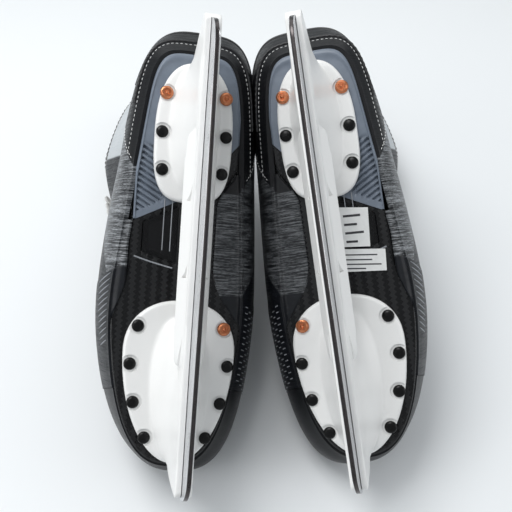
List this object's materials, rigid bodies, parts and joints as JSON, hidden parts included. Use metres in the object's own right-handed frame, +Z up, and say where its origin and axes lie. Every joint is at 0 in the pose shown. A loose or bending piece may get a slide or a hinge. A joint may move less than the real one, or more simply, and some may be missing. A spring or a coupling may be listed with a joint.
{
  "type": "pair of ice hockey skates",
  "caption": "Pair of ice hockey skates lying soles up and toes down, each a stiff lace-up boot with a riveted white blade holder and steel runner.",
  "frame": {"origin": "centre of the bounding box of the pair, on the floor that they lie on", "axes": "+Z up; the skates lie face down with their soles up, their toes towards -Y and the mirror plane between them at X = 0; the right skate is at +X"},
  "size_m": [0.2558, 0.4012, 0.2496],
  "materials": {
    "boot_shell": "heathered grey composite shell with a black heel counter",
    "toe_cap": "smooth black moulded cap",
    "ankle_liner": "black brushed lining over foam",
    "tongue": "dark grey felt",
    "tongue_flap": "dark grey felt",
    "tendon_guard": "charcoal semi-rigid guard",
    "footbed": "grey moulded insole",
    "lace": "white woven lace",
    "outsole": "black carbon weave",
    "heel_insert": "light blue-grey moulded insert with ribs",
    "vent_panel": "black textured vent frame",
    "blade_holder": "glossy white moulded nylon",
    "steel_runner": "mirror-polished sides and a dark ground edge",
    "rear_blade_bolt": "zinc-plated steel",
    "front_blade_bolt": "zinc-plated steel",
    "copper_rivet": "polished copper",
    "black_rivet": "black-coated steel"
  },
  "bodies": {
    "left_skate": {"left_boot_shell": "boot_shell", "left_toe_cap": "toe_cap", "left_ankle_liner": "ankle_liner", "left_tongue": "tongue", "left_footbed": "footbed", "left_lace": "lace", "left_outsole": "outsole", "left_heel_insert": "heel_insert", "left_vent_panel": "vent_panel", "left_blade_holder": "blade_holder", "left_steel_runner": "steel_runner", "left_rear_blade_bolt": "rear_blade_bolt", "left_front_blade_bolt": "front_blade_bolt", "left_heel_rivet_outer_1": "copper_rivet", "left_heel_rivet_inner_1": "copper_rivet", "left_heel_rivet_outer_2": "black_rivet", "left_heel_rivet_inner_2": "black_rivet", "left_heel_rivet_outer_3": "black_rivet", "left_heel_rivet_inner_3": "black_rivet", "left_toe_rivet_outer_1": "black_rivet", "left_toe_rivet_inner_1": "copper_rivet", "left_toe_rivet_outer_2": "black_rivet", "left_toe_rivet_inner_2": "black_rivet", "left_toe_rivet_outer_3": "black_rivet", "left_toe_rivet_inner_3": "black_rivet", "left_toe_rivet_outer_4": "black_rivet", "left_toe_rivet_inner_4": "black_rivet"},
    "right_skate": {"right_boot_shell": "boot_shell", "right_toe_cap": "toe_cap", "right_ankle_liner": "ankle_liner", "right_tongue": "tongue", "right_footbed": "footbed", "right_lace": "lace", "right_outsole": "outsole", "right_heel_insert": "heel_insert", "right_vent_panel": "vent_panel", "right_blade_holder": "blade_holder", "right_steel_runner": "steel_runner", "right_rear_blade_bolt": "rear_blade_bolt", "right_front_blade_bolt": "front_blade_bolt", "right_heel_rivet_outer_1": "copper_rivet", "right_heel_rivet_inner_1": "copper_rivet", "right_heel_rivet_outer_2": "black_rivet", "right_heel_rivet_inner_2": "black_rivet", "right_heel_rivet_outer_3": "black_rivet", "right_heel_rivet_inner_3": "black_rivet", "right_toe_rivet_outer_1": "black_rivet", "right_toe_rivet_inner_1": "copper_rivet", "right_toe_rivet_outer_2": "black_rivet", "right_toe_rivet_inner_2": "black_rivet", "right_toe_rivet_outer_3": "black_rivet", "right_toe_rivet_inner_3": "black_rivet", "right_toe_rivet_outer_4": "black_rivet", "right_toe_rivet_inner_4": "black_rivet"},
    "left_tongue_flap": {"left_tongue_flap": "tongue_flap"},
    "left_tendon_guard": {"left_tendon_guard": "tendon_guard"},
    "right_tongue_flap": {"right_tongue_flap": "tongue_flap"},
    "right_tendon_guard": {"right_tendon_guard": "tendon_guard"}
  },
  "joints": [
    {"name": "pair_spread", "type": "slide", "parent": "left_skate", "child": "right_skate", "axis": [1, 0, 0], "range_m": [0, 0.05]},
    {"name": "left_tongue_flex", "type": "hinge", "parent": "left_skate", "child": "left_tongue_flap", "pos_m": [-0.08577, 0.09546, 0.01288], "axis": [-0.9678, -0.0364, 0.2491], "range_deg": [0, 28], "stiffness_Nm_per_rad": 0.6},
    {"name": "left_guard_flex", "type": "hinge", "parent": "left_skate", "child": "left_tendon_guard", "pos_m": [-0.07668, 0.1736, 0.05961], "axis": [0.9678, 0.0364, -0.2491], "range_deg": [-6, 25], "stiffness_Nm_per_rad": 2},
    {"name": "right_tongue_flex", "type": "hinge", "parent": "right_skate", "child": "right_tongue_flap", "pos_m": [0.08577, 0.09546, 0.01288], "axis": [-0.9678, 0.0364, -0.2491], "range_deg": [0, 28], "stiffness_Nm_per_rad": 0.6},
    {"name": "right_guard_flex", "type": "hinge", "parent": "right_skate", "child": "right_tendon_guard", "pos_m": [0.07668, 0.1736, 0.05961], "axis": [0.9678, -0.0364, 0.2491], "range_deg": [-6, 25], "stiffness_Nm_per_rad": 2}
  ]
}
